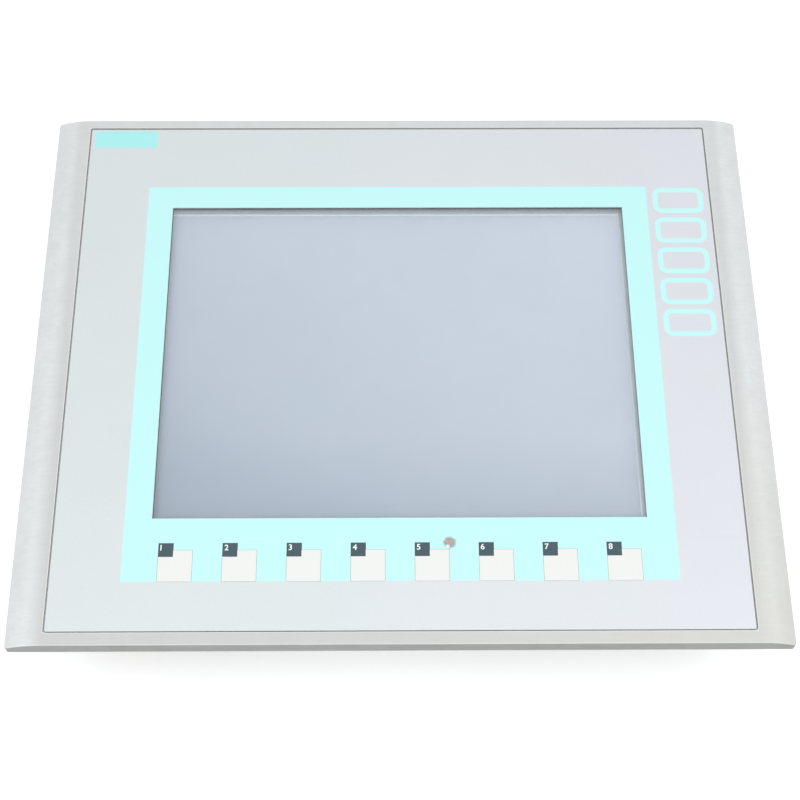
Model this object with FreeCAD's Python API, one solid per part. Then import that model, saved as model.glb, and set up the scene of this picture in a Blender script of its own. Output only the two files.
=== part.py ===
import FreeCAD, Part
import math
import os

from FreeCAD import Vector

# Operator panel for the door of a control cabinet: a framed touch display with eight function keys.
# Units are millimetres. X runs to the right and Y to the top edge of the screen, Z comes out of the
# screen. The origin is the centre of the cabinet cut-out, in the plane where the flange meets the door.

os.makedirs("parts", exist_ok=True)

# --- Driving dimensions ------------------------------------------------------------------------------

# Front frame
FRONT_WIDTH = 335.0
FRONT_HEIGHT = 275.0
FRONT_Z = 7.5               # front face above the flange's seat
ARRIS_Z = 4.2               # height left at the outer edge of the cambered side bars
CAMBER_START_X = 152.5      # where the side bars start to fall away
FRONT_CORNER_R = 1.5
FRONT_ARRIS_R = 0.5
WEB_BACK_Z = 3.6            # rear side of the plate that carries the foil
COLLAR_HALF_X = 152.5       # collar that reaches through the door into the housing
COLLAR_HALF_Y = 121.5
COLLAR_WALL = 2.5
COLLAR_BACK_Z = -10.2

# Foil and its printed areas
POCKET_HALF_X = 151.3
POCKET_LOW_Y = -131.7
POCKET_HIGH_Y = 132.8
FOIL_GAP = 0.7              # open joint between the foil and the frame
FOIL_TOP_Z = 7.1
FOIL_BACK_Z = 6.6
JOINT_FLOOR_Z = 5.6
BORDER_HALF_X = 120.25
BORDER_LOW_Y = -108.5
BORDER_HIGH_Y = 97.4
WINDOW_LOW_X = -108.25
WINDOW_HIGH_X = 108.0
WINDOW_LOW_Y = -78.8
WINDOW_HIGH_Y = 85.4
WINDOW_MID_Y = (WINDOW_LOW_Y + WINDOW_HIGH_Y) / 2
INK_DEPTH = 0.05

# Function keys
KEY_COUNT = 8
KEY_PITCH = 27.73
FIRST_KEY_X = -104.6        # left edge of the first key
KEY_WIDTH = 14.8
KEY_LOW_Y = -108.5
KEY_HIGH_Y = -93.9
BADGE_SIZE = 6.4
BADGE_HIGH_Y = -90.6
KEY_GAP = 0.1
KEY_BACK_Z = 6.35           # foil and the label card behind it move as one
KEY_POCKET_Z = 5.25
MEMBRANE_TOP_Z = 5.65
DOME_TOP_Z = 6.3
DOME_R = 5.0
DOME_SHEET = 0.15

# Touch sensor in the window
TOUCH_HALF_X = 112.7
TOUCH_HALF_Y = 86.7
TOUCH_TOP_Z = 6.55
TOUCH_BACK_Z = 5.1
LEDGE_HALF_X = 109.0
LEDGE_HALF_Y = 83.0
LEDGE_FRONT_Z = 4.6
GASKET_INNER_HALF_X = 108.15   # the gasket laps over the ledge and shows as a dark line round the window
GASKET_INNER_HALF_Y = 82.5

# Display module
LCD_X = -1.45
LCD_Y = 2.9
LCD_HALF_X = 121.5
LCD_HALF_Y = 92.0
LCD_VIEW_HALF_X = 107.55
LCD_VIEW_HALF_Y = 80.6
LCD_FRONT_Z = 3.2
LCD_BACK_Z = -8.0
LCD_SHEET = 0.5

# Sheet-metal housing that passes through the cut-out
HOUSING_HALF_X = 154.0
HOUSING_HALF_Y = 123.0
HOUSING_SHEET = 1.0
HOUSING_BEND_R = 2.5
LEDGE_Z = -33.0             # rear face of the wide front section
REAR_HALF_X = 146.0
REAR_LOW_Y = -106.0         # wall that carries the sockets
REAR_HIGH_Y = 115.0
HOUSING_BACK_Z = -53.5

# Carrier plate and circuit boards
PLATE_HALF_X = 151.8
PLATE_HALF_Y = 120.8
PLATE_FRONT_Z = -10.3
PLATE_BACK_Z = -11.3
BOARD_LOW_X = -108.0
BOARD_HIGH_X = 143.5
BOARD_LOW_Y = -104.3
BOARD_HIGH_Y = 62.0
BOARD_FRONT_Z = -34.2
BOARD_BACK_Z = -35.8
INVERTER_X = -133.0
INVERTER_HALF_Y = 58.0
INVERTER_FRONT_Z = -14.5
INVERTER_BACK_Z = -16.1

# Sockets in the lower wall
POWER_X = -84.0
POWER_WIDTH = 16.0
POWER_LOW_Z = -46.5
POWER_PIN_PITCH = 5.08
NETWORK_X = 44.0
NETWORK_WIDTH = 16.2
NETWORK_LOW_Z = -49.4
SOCKET_FACE_Y = -106.3
SOCKET_GAP = 0.3

# Hardware
GROUND_X = -122.0
GROUND_Y = -114.5
M3_R = 1.5
M3_HEAD_R = 2.75
M3_HEAD_HEIGHT = 1.8
SEAL_INNER_HALF_X = 158.5
SEAL_INNER_HALF_Y = 128.3
SEAL_WIDTH = 5.0
SEAL_DEPTH = 2.4

FRAME_SCREW_POINTS = [
    (x, y) for x in (-142.0, 0.0, 142.0) for y in (-112.0, 0.0, 112.0) if (x, y) != (0.0, 0.0)
]
LCD_SCREW_POINTS = [(LCD_X + side * 129.0, y) for side in (-1, 1) for y in (-60.0, 60.0)]
BOARD_SCREW_POINTS = [(x, y) for x in (-102.0, 12.0, 137.5) for y in (-92.0, 56.0)]
INVERTER_SCREW_POINTS = [(INVERTER_X, y) for y in (-52.0, 52.0)]
COVER_SCREW_POINTS = (
    [(side * 148.9, y) for side in (-1, 1) for y in (-60.0, 60.0)]
    + [(x, 118.0) for x in (-100.0, 100.0)]
    + [(x, -114.5) for x in (-100.0, 100.0)]
)


# --- Geometry helpers --------------------------------------------------------------------------------

def box(x0, x1, y0, y1, z0, z1):
    return Part.makeBox(x1 - x0, y1 - y0, z1 - z0, Vector(x0, y0, z0))


def centred_box(x, y, half_x, half_y, z0, z1):
    return box(x - half_x, x + half_x, y - half_y, y + half_y, z0, z1)


def is_upright(edge):
    start, end = edge.Vertexes[0].Point, edge.Vertexes[-1].Point
    return abs(start.x - end.x) < 1e-6 and abs(start.y - end.y) < 1e-6


def rounded(block, radius):
    """Round the upright edges of a box."""
    upright = [edge for edge in block.Edges if is_upright(edge)]
    return block.makeFillet(radius, upright).Solids[0]


def tray_block(x0, x1, y0, y1, z0, z1, radius):
    """A box rounded on every edge except those of its open front."""
    block = box(x0, x1, y0, y1, z0, z1)
    bent = [edge for edge in block.Edges if edge.BoundBox.ZMin < z1 - 1e-6]
    return block.makeFillet(radius, bent).Solids[0]


def cylinder(x, y, z0, z1, radius):
    return Part.makeCylinder(radius, z1 - z0, Vector(x, y, z0))


def slot(x, y, length, width, z0, z1):
    """A round-ended slot along Y, cut or stood along Z."""
    reach = (length - width) / 2
    middle = centred_box(x, y, width / 2, reach, z0, z1)
    ends = [cylinder(x, y + side * reach, z0, z1, width / 2) for side in (-1, 1)]
    return middle.fuse(ends).removeSplitter()


def ring(outer, inner):
    return outer.cut(inner)


def ribbon(path, x0, x1, thickness):
    """A flat strip that follows the (y, z) points of path, with eased bends on its outer side."""
    spine = Part.makePolygon([Vector(x0, y, z) for y, z in path])
    return spine.makeOffset2D(thickness, 0, True, True, False).extrude(Vector(x1 - x0, 0, 0))


def round_cable(points, radius):
    """A round cable in straight runs joined by tangent arcs at the points between its ends."""
    points = [Vector(*point) for point in points]
    edges = []
    start = points[0]
    for before, corner, after in zip(points, points[1:], points[2:]):
        inward = (corner - before).normalize()
        outward = (after - corner).normalize()
        half_turn = inward.getAngle(outward) / 2
        reach = 0.45 * min(before.distanceToPoint(corner), after.distanceToPoint(corner))
        bend_radius = reach / math.tan(half_turn)
        sag = bend_radius * (1 / math.cos(half_turn) - 1)
        arc_start = corner - inward * reach
        arc_middle = corner + (outward - inward).normalize() * sag
        arc_end = corner + outward * reach
        edges.append(Part.makeLine(start, arc_start))
        edges.append(Part.Arc(arc_start, arc_middle, arc_end).toShape())
        start = arc_end
    edges.append(Part.makeLine(start, points[-1]))
    section = Part.makeCircle(radius, points[0], points[1] - points[0])
    return Part.Wire(edges).makePipeShell([Part.Wire([section])], True, True)


def pan_screw(x, y, seat_z, depth):
    """A screw driven towards +Z whose head bears on seat_z, with a cross recess."""
    head = cylinder(x, y, seat_z - M3_HEAD_HEIGHT, seat_z, M3_HEAD_R)
    rim = [edge for edge in head.Edges if edge.BoundBox.ZMax < seat_z - 1e-6]
    head = head.makeFillet(0.8, rim).Solids[0]
    shank = cylinder(x, y, seat_z, seat_z + depth, M3_R - 0.15)
    recess_z = seat_z - M3_HEAD_HEIGHT
    for half_x, half_y in ((1.5, 0.35), (0.35, 1.5)):
        head = head.cut(centred_box(x, y, half_x, half_y, recess_z, recess_z + 1.0))
    return head.fuse(shank).removeSplitter()


def group(solids):
    return Part.makeCompound(solids)


def key_left(index):
    return FIRST_KEY_X + index * KEY_PITCH


def key_centre(index):
    return key_left(index) + KEY_WIDTH / 2, (KEY_LOW_Y + KEY_HIGH_Y) / 2


def key_outline(index, grow, z0, z1):
    """The key's field with its number badge standing out above the left corner."""
    left = key_left(index)
    field = box(left - grow, left + KEY_WIDTH + grow, KEY_LOW_Y - grow, KEY_HIGH_Y + grow, z0, z1)
    badge = box(
        left - grow, left + BADGE_SIZE + grow,
        BADGE_HIGH_Y - BADGE_SIZE - grow, BADGE_HIGH_Y + grow, z0, z1,
    )
    return field.fuse(badge).removeSplitter()


def all_key_outlines(grow, z0, z1):
    return [key_outline(index, grow, z0, z1) for index in range(KEY_COUNT)]


# --- Front -------------------------------------------------------------------------------------------

def cambered_slab():
    """The frame's outer body: flat in the middle, its side bars falling in an arc to the outer edge."""
    half = FRONT_WIDTH / 2
    run = half - CAMBER_START_X
    drop = FRONT_Z - ARRIS_Z
    radius = (run ** 2 + drop ** 2) / (2 * drop)
    half_angle = math.asin(run / radius) / 2
    mid_x = CAMBER_START_X + radius * math.sin(half_angle)
    mid_z = FRONT_Z - radius * (1 - math.cos(half_angle))
    y = -FRONT_HEIGHT / 2

    def point(x, z):
        return Vector(x, y, z)

    section = Part.Wire([
        Part.makeLine(point(-half, 0), point(half, 0)),
        Part.makeLine(point(half, 0), point(half, ARRIS_Z)),
        Part.Arc(point(half, ARRIS_Z), point(mid_x, mid_z), point(CAMBER_START_X, FRONT_Z)).toShape(),
        Part.makeLine(point(CAMBER_START_X, FRONT_Z), point(-CAMBER_START_X, FRONT_Z)),
        Part.Arc(point(-CAMBER_START_X, FRONT_Z), point(-mid_x, mid_z), point(-half, ARRIS_Z)).toShape(),
        Part.makeLine(point(-half, ARRIS_Z), point(-half, 0)),
    ])
    slab = Part.Face(section).extrude(Vector(0, FRONT_HEIGHT, 0))
    outline = rounded(
        centred_box(0, 0, half, FRONT_HEIGHT / 2, -1, FRONT_Z + 1), FRONT_CORNER_R
    )
    slab = slab.common(outline).Solids[0]
    arrises = [edge for edge in slab.Edges if is_front_arris(edge)]
    return slab.makeFillet(FRONT_ARRIS_R, arrises).Solids[0]


def is_front_arris(edge):
    bounds = edge.BoundBox
    on_end = min(abs(bounds.YMin), abs(bounds.YMax)) > FRONT_HEIGHT / 2 - FRONT_CORNER_R - 1e-3
    on_side = min(abs(bounds.XMin), abs(bounds.XMax)) > FRONT_WIDTH / 2 - FRONT_CORNER_R - 1e-3
    return bounds.ZMin > ARRIS_Z - 1e-3 and (on_end or on_side)


def foil_pocket():
    """The recess for the foil, with a deeper moat all round it."""
    low_y, high_y, half_x = POCKET_LOW_Y, POCKET_HIGH_Y, POCKET_HALF_X
    moat = 1.3
    pocket = rounded(box(-half_x, half_x, low_y, high_y, FOIL_BACK_Z, FRONT_Z + 1), 1.0)
    outer = box(-half_x, half_x, low_y, high_y, JOINT_FLOOR_Z, FOIL_BACK_Z)
    inner = box(
        -half_x + moat, half_x - moat, low_y + moat, high_y - moat, JOINT_FLOOR_Z - 1, FRONT_Z
    )
    return [pocket, ring(rounded(outer, 1.0), rounded(inner, 0.6))]


def window_cuts():
    """The touch sensor's seat and the opening in the ledge that carries it."""
    seat = centred_box(0, WINDOW_MID_Y, TOUCH_HALF_X + 0.3, TOUCH_HALF_Y + 0.3, LEDGE_FRONT_Z, FRONT_Z)
    opening = centred_box(0, WINDOW_MID_Y, LEDGE_HALF_X, LEDGE_HALF_Y, WEB_BACK_Z - 1, FRONT_Z)
    tail_notch = box(30, 46, WINDOW_MID_Y - TOUCH_HALF_Y, WINDOW_MID_Y, WEB_BACK_Z - 1, FRONT_Z)
    return [rounded(seat, 1.0), rounded(opening, 1.5), tail_notch]


def key_bed_cuts():
    """The bed of the key membrane, with slots for the membrane's tail and the label strip's tab."""
    bed = box(-113.5, 117.6, -113.5, -87.0, KEY_POCKET_Z, FRONT_Z)
    membrane_slot = box(-62, -38, -113.2, -111.0, WEB_BACK_Z - 1, KEY_POCKET_Z + 1)
    label_slot = box(115.2, 117.6, -106.5, -93.5, WEB_BACK_Z - 1, KEY_POCKET_Z + 1)
    return [rounded(bed, 1.0), membrane_slot, label_slot]


def seal_ring(gap):
    """The door seal's ring, or with a gap the groove that holds it."""
    inner = rounded(
        centred_box(0, 0, SEAL_INNER_HALF_X - gap, SEAL_INNER_HALF_Y - gap, 0, SEAL_DEPTH + gap), 6.0
    )
    outer = rounded(
        centred_box(
            0, 0, SEAL_INNER_HALF_X + SEAL_WIDTH + gap, SEAL_INNER_HALF_Y + SEAL_WIDTH + gap,
            0, SEAL_DEPTH + gap,
        ), 11.0
    )
    return ring(outer, inner)


def front_frame():
    frame = cambered_slab()
    inner_x = COLLAR_HALF_X - COLLAR_WALL
    inner_y = COLLAR_HALF_Y - COLLAR_WALL
    back_cavity = rounded(centred_box(0, 0, inner_x, inner_y, -20, WEB_BACK_Z), 3.0)
    housing_seat = rounded(
        centred_box(0, 0, HOUSING_HALF_X + 0.3, HOUSING_HALF_Y + 0.3, -1, 1.0), 2.8
    )
    frame = frame.cut([back_cavity, housing_seat])
    collar = ring(
        rounded(centred_box(0, 0, COLLAR_HALF_X, COLLAR_HALF_Y, COLLAR_BACK_Z, 1.5), 4.0),
        back_cavity,
    )
    bosses = [cylinder(x, y, COLLAR_BACK_Z, WEB_BACK_Z + 0.5, 4.0) for x, y in FRAME_SCREW_POINTS]
    bosses += [cylinder(x, y, -2.0, WEB_BACK_Z + 0.5, 3.0) for x, y in LCD_SCREW_POINTS]
    frame = frame.fuse([collar] + bosses)
    holes = [cylinder(x, y, COLLAR_BACK_Z - 1, -2.0, M3_R) for x, y in FRAME_SCREW_POINTS]
    holes += [cylinder(x, y, -3.0, 3.0, M3_R) for x, y in LCD_SCREW_POINTS]
    cuts = foil_pocket() + window_cuts() + key_bed_cuts() + holes + [seal_ring(0.0)]
    return frame.cut(cuts).removeSplitter()


def foil_sheet():
    outline = box(
        -POCKET_HALF_X + FOIL_GAP, POCKET_HALF_X - FOIL_GAP,
        POCKET_LOW_Y + FOIL_GAP, POCKET_HIGH_Y - FOIL_GAP, FOIL_BACK_Z, FOIL_TOP_Z,
    )
    return rounded(outline, 0.8)


def window_block(gap, z0, z1):
    return box(
        WINDOW_LOW_X + gap, WINDOW_HIGH_X - gap, WINDOW_LOW_Y + gap, WINDOW_HIGH_Y - gap, z0, z1
    )


def hollow_mark(x, y, width, height, stroke, z0, z1):
    """One generic decorative mark: a rounded rectangle drawn as an outline."""
    outer = rounded(centred_box(x, y, width / 2, height / 2, z0, z1), height * 0.3)
    inner = rounded(
        centred_box(x, y, width / 2 - stroke, height / 2 - stroke, z0 - 1, z1 + 1), height * 0.12
    )
    return ring(outer, inner)


def printed_graphics():
    """The printed colour: window border, plain corner block and a column of plain outline marks."""
    z0, z1 = FOIL_TOP_Z - INK_DEPTH, FOIL_TOP_Z
    border = box(-BORDER_HALF_X, BORDER_HALF_X, BORDER_LOW_Y, BORDER_HIGH_Y, z0, z1)
    border = border.cut([window_block(0, z0 - 1, z1 + 1)] + all_key_outlines(KEY_GAP, z0 - 1, z1 + 1))
    corner_block = box(-148.6, -118.0, 121.2, 131.0, z0, z1)
    mark_count = 5
    mark_pitch = 17.2
    first_mark_y = 89.2
    marks = [
        hollow_mark(135.4, first_mark_y - index * mark_pitch, 24.6, 14.6, 2.6, z0, z1)
        for index in range(mark_count)
    ]
    return group([border, corner_block] + marks)


def front_foil(graphics):
    foil = foil_sheet()
    foil = foil.cut([window_block(0, 0, 10)] + all_key_outlines(KEY_GAP, 0, 10))
    return foil.cut(graphics.Solids)


def window_film():
    return window_block(0.05, TOUCH_TOP_Z, FOIL_TOP_Z - 0.05)


def function_key(index):
    """The part of the foil that a finger presses, with its blank label card behind it."""
    return key_outline(index, 0, KEY_BACK_Z, FOIL_TOP_Z)


def snap_dome(index):
    """A sprung steel disc, arched between its rim on the membrane and its crown under the key."""
    x, y = key_centre(index)
    rise = DOME_TOP_Z - MEMBRANE_TOP_Z
    radius = (DOME_R ** 2 + rise ** 2) / (2 * rise)
    centre = Vector(x, y, DOME_TOP_Z - radius)
    outer = Part.makeSphere(radius, centre)
    inner = Part.makeSphere(radius - DOME_SHEET, centre)
    above_membrane = centred_box(x, y, DOME_R + 1, DOME_R + 1, MEMBRANE_TOP_Z, DOME_TOP_Z + 1)
    return outer.cut(inner).common(above_membrane).Solids[0]


def label_strip():
    """The slip-in label card: a thin frame round the keys with a tab that leads to the rear."""
    z0, z1 = 6.3, 6.5
    card = box(-111.0, 116.6, -111.5, -88.6, z0, z1)
    card = card.cut(all_key_outlines(0.2, z0 - 1, z1 + 1))
    card = card.cut(box(111.5, 118, -112, -106, z0 - 1, z1 + 1))
    card = card.cut(box(111.5, 118, -94, -88, z0 - 1, z1 + 1))
    tab = box(116.4, 116.6, -106, -94, -5, z1)
    return card.fuse(tab).removeSplitter()


def key_membrane():
    """The printed switch sheet, its tail folded back through the frame."""
    sheet = box(-113, 113, -111.9, -87.5, 5.3, MEMBRANE_TOP_Z)
    tail = ribbon([(-111.9, MEMBRANE_TOP_Z), (-111.9, -20), (-99, -24), (-99, -28.9)], -60, -40, 0.25)
    return sheet.fuse(tail).removeSplitter()


# --- Touch sensor and display ------------------------------------------------------------------------

def touch_sensor():
    return centred_box(0, WINDOW_MID_Y, TOUCH_HALF_X, TOUCH_HALF_Y, TOUCH_BACK_Z, TOUCH_TOP_Z)


def touch_gasket():
    z0, z1 = LEDGE_FRONT_Z, TOUCH_BACK_Z
    outer = centred_box(0, WINDOW_MID_Y, TOUCH_HALF_X, TOUCH_HALF_Y, z0, z1)
    inner = centred_box(0, WINDOW_MID_Y, GASKET_INNER_HALF_X, GASKET_INNER_HALF_Y, z0, z1)
    notch = box(30, 46, WINDOW_MID_Y - 90, WINDOW_MID_Y, z0, z1)
    return outer.cut([inner, notch])


def touch_flex_tail():
    back = TOUCH_BACK_Z - 0.15
    bend_y = WINDOW_MID_Y - LEDGE_HALF_Y - 2.0
    drop_y = LCD_Y - LCD_HALF_Y - 2.5
    path = [(bend_y + 1.8, back), (bend_y, back), (bend_y, 3.4), (drop_y, 3.4), (drop_y, -28.9)]
    return ribbon(path, 31, 45, 0.12)


def lcd_dust_seal():
    z0, z1 = LCD_FRONT_Z, WEB_BACK_Z
    outer = centred_box(LCD_X, LCD_Y, LCD_HALF_X - 4, LCD_HALF_Y - 2, z0, z1)
    inner = centred_box(LCD_X, LCD_Y, LCD_HALF_X - 9, LCD_HALF_Y - 6, z0, z1)
    notch = box(30, 46, LCD_Y - 95, LCD_Y, z0, z1)
    return outer.cut([inner, notch])


def lcd_bezel():
    """The pressed steel can of the display module, its opening turned down to the glass."""
    sheet = LCD_SHEET
    can = rounded(centred_box(LCD_X, LCD_Y, LCD_HALF_X, LCD_HALF_Y, LCD_BACK_Z, LCD_FRONT_Z), 1.0)
    hollow = centred_box(
        LCD_X, LCD_Y, LCD_HALF_X - sheet, LCD_HALF_Y - sheet, LCD_BACK_Z - 1, LCD_FRONT_Z - sheet
    )
    opening = centred_box(LCD_X, LCD_Y, LCD_VIEW_HALF_X, LCD_VIEW_HALF_Y, 0, LCD_FRONT_Z + 1)
    can = can.cut([hollow, opening])
    lip = [
        edge for edge in can.Edges
        if edge.BoundBox.ZMin > LCD_FRONT_Z - 1e-6
        and max(abs(edge.BoundBox.XMin - LCD_X), abs(edge.BoundBox.XMax - LCD_X)) < LCD_VIEW_HALF_X + 0.1
    ]
    return can.makeChamfer(sheet * 0.7, lip).Solids[0]


def lcd_panel():
    """The display glass: two bonded sheets behind the bezel."""
    top = LCD_FRONT_Z - LCD_SHEET - 0.05
    return centred_box(LCD_X, LCD_Y, LCD_HALF_X - 4, LCD_HALF_Y - 4, top - 1.5, top)


def lamp_positions():
    return [LCD_Y + side * (LCD_HALF_Y - 5.0) for side in (-1, 1)]


def lcd_backlight():
    """Light guide and tray behind the glass, with a channel for a lamp along each long side."""
    block = centred_box(LCD_X, LCD_Y, LCD_HALF_X - 1, LCD_HALF_Y - 1, LCD_BACK_Z + 0.6, 1.1)
    channels = [
        centred_box(LCD_X, y, LCD_HALF_X - 3, 2.4, -5.0, 2.0) for y in lamp_positions()
    ]
    return block.cut(channels)


def lcd_lamps():
    """Two thin fluorescent tubes."""
    length = 2 * LCD_HALF_X - 16
    along_x = Vector(1, 0, 0)
    start_x = LCD_X - length / 2
    return group([
        Part.makeCylinder(1.3, length, Vector(start_x, y, -2.4), along_x) for y in lamp_positions()
    ])


def lcd_bracket(side):
    """An angle that carries one side of the display on two of the frame's bosses."""
    near = LCD_X + side * (LCD_HALF_X + 0.05)
    far = near + side * 13.0
    upright_far = near + side * 1.0
    upright = box(min(near, upright_far), max(near, upright_far), -78, 78, LCD_BACK_Z, -2.0)
    foot = box(min(near, far), max(near, far), -78, 78, -3.0, -2.0)
    holes = [
        cylinder(x, y, -4, 0, M3_R + 0.2) for x, y in LCD_SCREW_POINTS if (x - LCD_X) * side > 0
    ]
    relief = [
        box(min(near + side * 1.5, far), max(near + side * 1.5, far), y - 17, y + 17, -4, 0)
        for y in (-30.0, 30.0)
    ]
    return upright.fuse(foot).cut(holes + relief).removeSplitter()


# --- Carrier plate, boards and wiring ----------------------------------------------------------------

def cable_windows():
    """Openings in the carrier plate: display ribbon, key tail, touch tail, label tab and lamp leads."""
    z0, z1 = PLATE_BACK_Z - 1, PLATE_FRONT_Z + 1
    windows = [
        box(-26, 6, 26, 42, z0, z1),
        box(-63, -37, -114, -108, z0, z1),
        box(28, 48, -95, -88.5, z0, z1),
    ]
    windows += [cylinder(-140.5, side * 84.0, z0, z1, 3.5) for side in (-1, 1)]
    return windows


def support_plate():
    """The pressed plate that closes the frame and carries boards and rear cover on fixed posts."""
    plate = rounded(
        centred_box(0, 0, PLATE_HALF_X, PLATE_HALF_Y, PLATE_BACK_Z, PLATE_FRONT_Z), 4.0
    )
    posts = [cylinder(x, y, BOARD_FRONT_Z, PLATE_BACK_Z, 3.0) for x, y in BOARD_SCREW_POINTS]
    posts += [
        cylinder(x, y, INVERTER_FRONT_Z, PLATE_BACK_Z, 2.5) for x, y in INVERTER_SCREW_POINTS
    ]
    cover_post_z = LEDGE_Z + HOUSING_SHEET
    posts += [cylinder(x, y, cover_post_z, PLATE_BACK_Z, 2.4) for x, y in COVER_SCREW_POINTS]
    plate = plate.fuse(posts)
    threads = [cylinder(x, y, BOARD_FRONT_Z - 1, -20, M3_R) for x, y in BOARD_SCREW_POINTS]
    threads += [
        cylinder(x, y, INVERTER_FRONT_Z - 1, PLATE_FRONT_Z + 1, M3_R) for x, y in INVERTER_SCREW_POINTS
    ]
    threads += [cylinder(x, y, cover_post_z - 1, -20, M3_R) for x, y in COVER_SCREW_POINTS]
    clearance = [
        cylinder(x, y, PLATE_BACK_Z - 1, PLATE_FRONT_Z + 1, M3_R + 0.2) for x, y in FRAME_SCREW_POINTS
    ]
    return plate.cut(threads + clearance + cable_windows()).removeSplitter()


def main_board():
    board = rounded(
        box(BOARD_LOW_X, BOARD_HIGH_X, BOARD_LOW_Y, BOARD_HIGH_Y, BOARD_BACK_Z, BOARD_FRONT_Z), 2.0
    )
    holes = [
        cylinder(x, y, BOARD_BACK_Z - 1, BOARD_FRONT_Z + 1, M3_R + 0.2) for x, y in BOARD_SCREW_POINTS
    ]
    return board.cut(holes)


def heat_spreader():
    """Finned block on the processor."""
    x, y, half = 60.0, -10.0, 19.0
    block = centred_box(x, y, half, half, BOARD_BACK_Z - 12.0, BOARD_BACK_Z - 2.6)
    fin_pitch = 4.0
    gap_count = 9
    first_gap = x - fin_pitch * (gap_count - 1) / 2
    gaps = [
        centred_box(
            first_gap + index * fin_pitch, y, 1.3, half + 1, BOARD_BACK_Z - 13, BOARD_BACK_Z - 5
        )
        for index in range(gap_count)
    ]
    return block.cut(gaps)


def board_chips():
    """Flat packages on the main board's rear side; the first sits under the heat spreader."""
    chips = [
        (60.0, -10.0, 14.0, 14.0, 2.6),
        (60.0, 32.0, 11.0, 5.5, 1.2),
        (88.0, 32.0, 11.0, 5.5, 1.2),
        (104.0, -8.0, 7.0, 10.0, 2.2),
        (26.0, -14.0, 7.0, 7.0, 1.6),
        (44.0, -62.0, 8.0, 6.0, 1.6),
        (-40.0, -30.0, 4.0, 5.0, 1.6),
        (-72.0, -34.0, 5.0, 4.0, 2.0),
        (-20.0, 26.0, 9.0, 4.0, 1.6),
    ]
    return group([
        centred_box(x, y, half_x, half_y, BOARD_BACK_Z - height, BOARD_BACK_Z)
        for x, y, half_x, half_y, height in chips
    ])


def capacitors():
    """Electrolytic cans of the power supply."""
    cans = [(-96.0, -64.0), (-82.0, -64.0), (-60.0, -66.0), (-46.0, -66.0)]
    solids = []
    for x, y in cans:
        can = cylinder(x, y, BOARD_BACK_Z - 12.5, BOARD_BACK_Z, 5.0)
        crown = [edge for edge in can.Edges if edge.BoundBox.ZMax < BOARD_BACK_Z - 12]
        can = can.makeFillet(0.6, crown).Solids[0]
        solids.append(can)
    return group(solids)


def power_choke():
    """Ring choke lying on the board."""
    height = 7.5
    body = cylinder(-64.0, -88.0, BOARD_BACK_Z - height, BOARD_BACK_Z, 7.5)
    hole = cylinder(-64.0, -88.0, BOARD_BACK_Z - height - 1, BOARD_BACK_Z - 1.0, 3.0)
    choke = body.cut(hole)
    rims = [edge for edge in choke.Edges if edge.BoundBox.ZMax < BOARD_BACK_Z - height + 1e-6]
    return choke.makeFillet(1.4, rims).Solids[0]


def socket_cavity(x, half_x, z0, z1, depth):
    return box(x - half_x, x + half_x, SOCKET_FACE_Y - 1, SOCKET_FACE_Y + depth, z0, z1)


def power_socket():
    """Shrouded inlet for the supply plug, open downwards, with polarising ribs."""
    half = POWER_WIDTH / 2
    body = box(POWER_X - half, POWER_X + half, SOCKET_FACE_Y, -92.5, POWER_LOW_Z, BOARD_BACK_Z)
    cavity = socket_cavity(POWER_X, half - 1.1, POWER_LOW_Z + 1.2, BOARD_BACK_Z - 1.2, 10.0)
    ribs = [
        box(x - 0.5, x + 0.5, SOCKET_FACE_Y, -96, POWER_LOW_Z + 1.0, POWER_LOW_Z + 2.0)
        for x in (POWER_X - POWER_PIN_PITCH, POWER_X, POWER_X + POWER_PIN_PITCH)
    ]
    return body.cut(cavity).fuse(ribs).removeSplitter()


def power_pins():
    mid_z = (POWER_LOW_Z + BOARD_BACK_Z) / 2
    return group([
        box(x - 0.5, x + 0.5, SOCKET_FACE_Y + 4.5, -96.3, mid_z - 0.5, mid_z + 0.5)
        for x in (POWER_X - POWER_PIN_PITCH, POWER_X, POWER_X + POWER_PIN_PITCH)
    ])


def network_port():
    """Shielded network jack, open downwards, with the notch for the plug's latch."""
    half = NETWORK_WIDTH / 2
    body = box(
        NETWORK_X - half, NETWORK_X + half, SOCKET_FACE_Y, -90.5, NETWORK_LOW_Z, BOARD_BACK_Z
    )
    throat = socket_cavity(NETWORK_X, 5.95, NETWORK_LOW_Z + 2.2, NETWORK_LOW_Z + 9.0, 13.0)
    latch_step = socket_cavity(NETWORK_X, 3.1, NETWORK_LOW_Z + 8.0, NETWORK_LOW_Z + 10.6, 13.0)
    latch_notch = socket_cavity(NETWORK_X, 1.6, NETWORK_LOW_Z + 10.0, NETWORK_LOW_Z + 12.0, 13.0)
    return body.cut([throat, latch_step, latch_notch]).removeSplitter()


def network_contacts():
    """Eight sprung contacts in the jack."""
    contact_pitch = 1.02
    first_x = NETWORK_X - 3.5 * contact_pitch
    low = NETWORK_LOW_Z + 2.2
    return group([
        box(x - 0.2, x + 0.2, SOCKET_FACE_Y + 6.0, SOCKET_FACE_Y + 13.0, low, low + 1.2)
        for x in (first_x + index * contact_pitch for index in range(8))
    ])


def board_connectors():
    """Headers on the board's front side for display, keys, touch sensor and inverter."""
    z0, z1 = BOARD_FRONT_Z, BOARD_FRONT_Z + 5.2
    return group([
        box(-24, 4, 15.5, 20.5, z0, z1),
        box(-63, -37, -101.5, -96.5, z0, z1),
        box(28, 48, -94.5, -89.5, z0, z1),
        box(-105, -97, 20, 36, z0, z1),
    ])


def inverter_board():
    board = centred_box(
        INVERTER_X, 0, 12.0, INVERTER_HALF_Y, INVERTER_BACK_Z, INVERTER_FRONT_Z
    )
    holes = [
        cylinder(x, y, INVERTER_BACK_Z - 1, INVERTER_FRONT_Z + 1, M3_R + 0.2)
        for x, y in INVERTER_SCREW_POINTS
    ]
    return board.cut(holes)


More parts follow.
